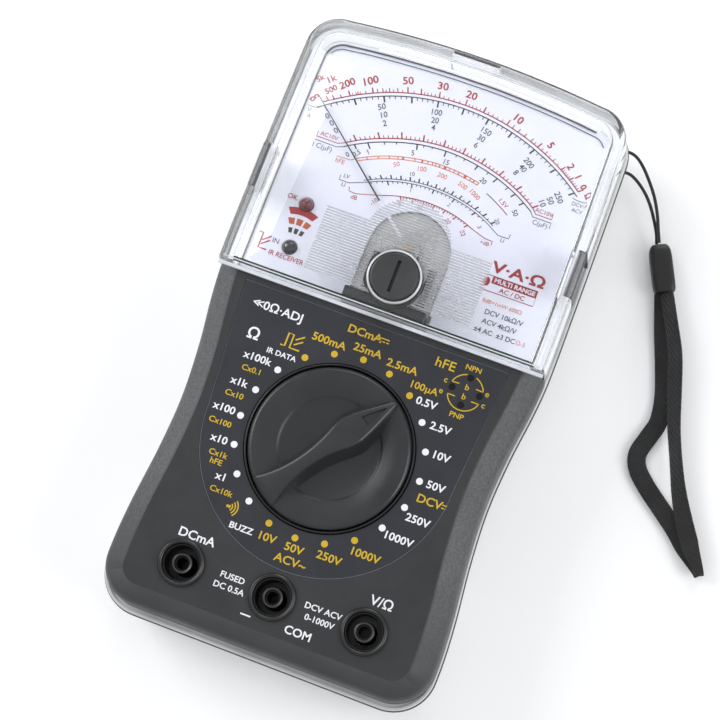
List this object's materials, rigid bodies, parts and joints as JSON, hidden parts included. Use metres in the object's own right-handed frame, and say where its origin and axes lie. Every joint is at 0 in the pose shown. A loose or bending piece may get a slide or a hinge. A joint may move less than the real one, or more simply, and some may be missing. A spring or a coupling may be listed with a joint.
{
  "type": "analog multimeter",
  "caption": "Handheld moving-coil multimeter with a waisted case, clear dial cover, rotary range switch, jack sockets and a wrist lanyard.",
  "frame": {"origin": "middle of the bounding box at the flat rear face it lies on, measured without the lanyard", "axes": "+Z out of the face, +Y towards the dial end, +X to the right when reading the dial"},
  "size_m": [0.1637, 0.186, 0.0406],
  "materials": {
    "dark_case": "fine textured mould finish",
    "rear_grey": "satin",
    "clear_cover": "polished clear moulding",
    "label_film": "matt printed film",
    "knob_plastic": "soft satin",
    "black_plastic": "satin",
    "lug_grey": "satin",
    "steel": "turned",
    "brass": "stamped",
    "copper": "enamelled wire",
    "magnet_iron": "ground",
    "dial_white": "printed enamel",
    "led_red": "clear tinted lens",
    "board_green": "solder mask",
    "fuse_glass": "drawn tube",
    "cell_jacket": "shrink sleeve",
    "lanyard_fabric": "woven"
  },
  "bodies": {
    "case_body": {"rear_case": "rear_grey", "battery_door": "rear_grey", "front_case": "dark_case", "panel_label": "label_film", "meter_cover": "clear_cover", "cover_lug_left": "lug_grey", "cover_lug_right": "lug_grey", "cover_lug_top": "lug_grey", "dial_foot": "lug_grey", "knob_bezel": "black_plastic", "jack_sleeve_current": "black_plastic", "jack_sleeve_common": "black_plastic", "jack_sleeve_volts": "black_plastic", "transistor_socket": "black_plastic", "adjust_pot": "black_plastic", "ir_receiver": "black_plastic", "fuse_base": "black_plastic", "lanyard_bead": "black_plastic", "upper_jewel": "brass", "lower_bearing": "brass", "detent_ball": "steel", "jack_current": "steel", "jack_common": "steel", "jack_volts": "steel", "pole_core": "steel", "movement_bridge": "steel", "fuse_cap_left": "steel", "fuse_cap_right": "steel", "buzzer_disc": "steel", "cell_contact_left": "steel", "cell_contact_right": "steel", "door_screw": "steel", "case_screw_1": "steel", "case_screw_2": "steel", "case_screw_3": "steel", "case_screw_4": "steel", "field_magnet": "magnet_iron", "dial_plate": "dial_white", "status_led": "led_red", "circuit_board": "board_green", "fuse": "fuse_glass", "cell_lower": "cell_jacket", "cell_upper": "cell_jacket", "lanyard_cord": "lanyard_fabric", "lanyard_webbing": "lanyard_fabric"},
    "knob_body": {"range_knob": "knob_plastic", "knob_spindle": "knob_plastic", "range_rotor": "knob_plastic", "range_wiper": "brass"},
    "needle_body": {"needle": "black_plastic", "moving_coil": "copper", "upper_pivot": "steel", "lower_pivot": "steel", "hairspring": "brass"},
    "zero_body": {"zero_adjust_screw": "dark_case"},
    "ohm_body": {"ohm_adjust_wheel": "black_plastic"}
  },
  "joints": [
    {"name": "range_turn", "type": "hinge", "parent": "case_body", "child": "knob_body", "pos_m": [0, -0.0305, 0.034], "axis": [0, 0, 1], "continuous": true},
    {"name": "needle_swing", "type": "hinge", "parent": "case_body", "child": "needle_body", "pos_m": [0.0003, 0.0318, 0.029], "axis": [0, 0, 1], "range_deg": [-100, 0], "stiffness_Nm_per_rad": 0.0001},
    {"name": "zero_turn", "type": "hinge", "parent": "case_body", "child": "zero_body", "pos_m": [0.00045, 0.0208, 0.038], "axis": [0, 0, 1], "continuous": true},
    {"name": "ohm_turn", "type": "hinge", "parent": "case_body", "child": "ohm_body", "pos_m": [-0.0409, -0.0018, 0.0228], "axis": [0, 0, 1], "range_deg": [-140, 140]}
  ]
}
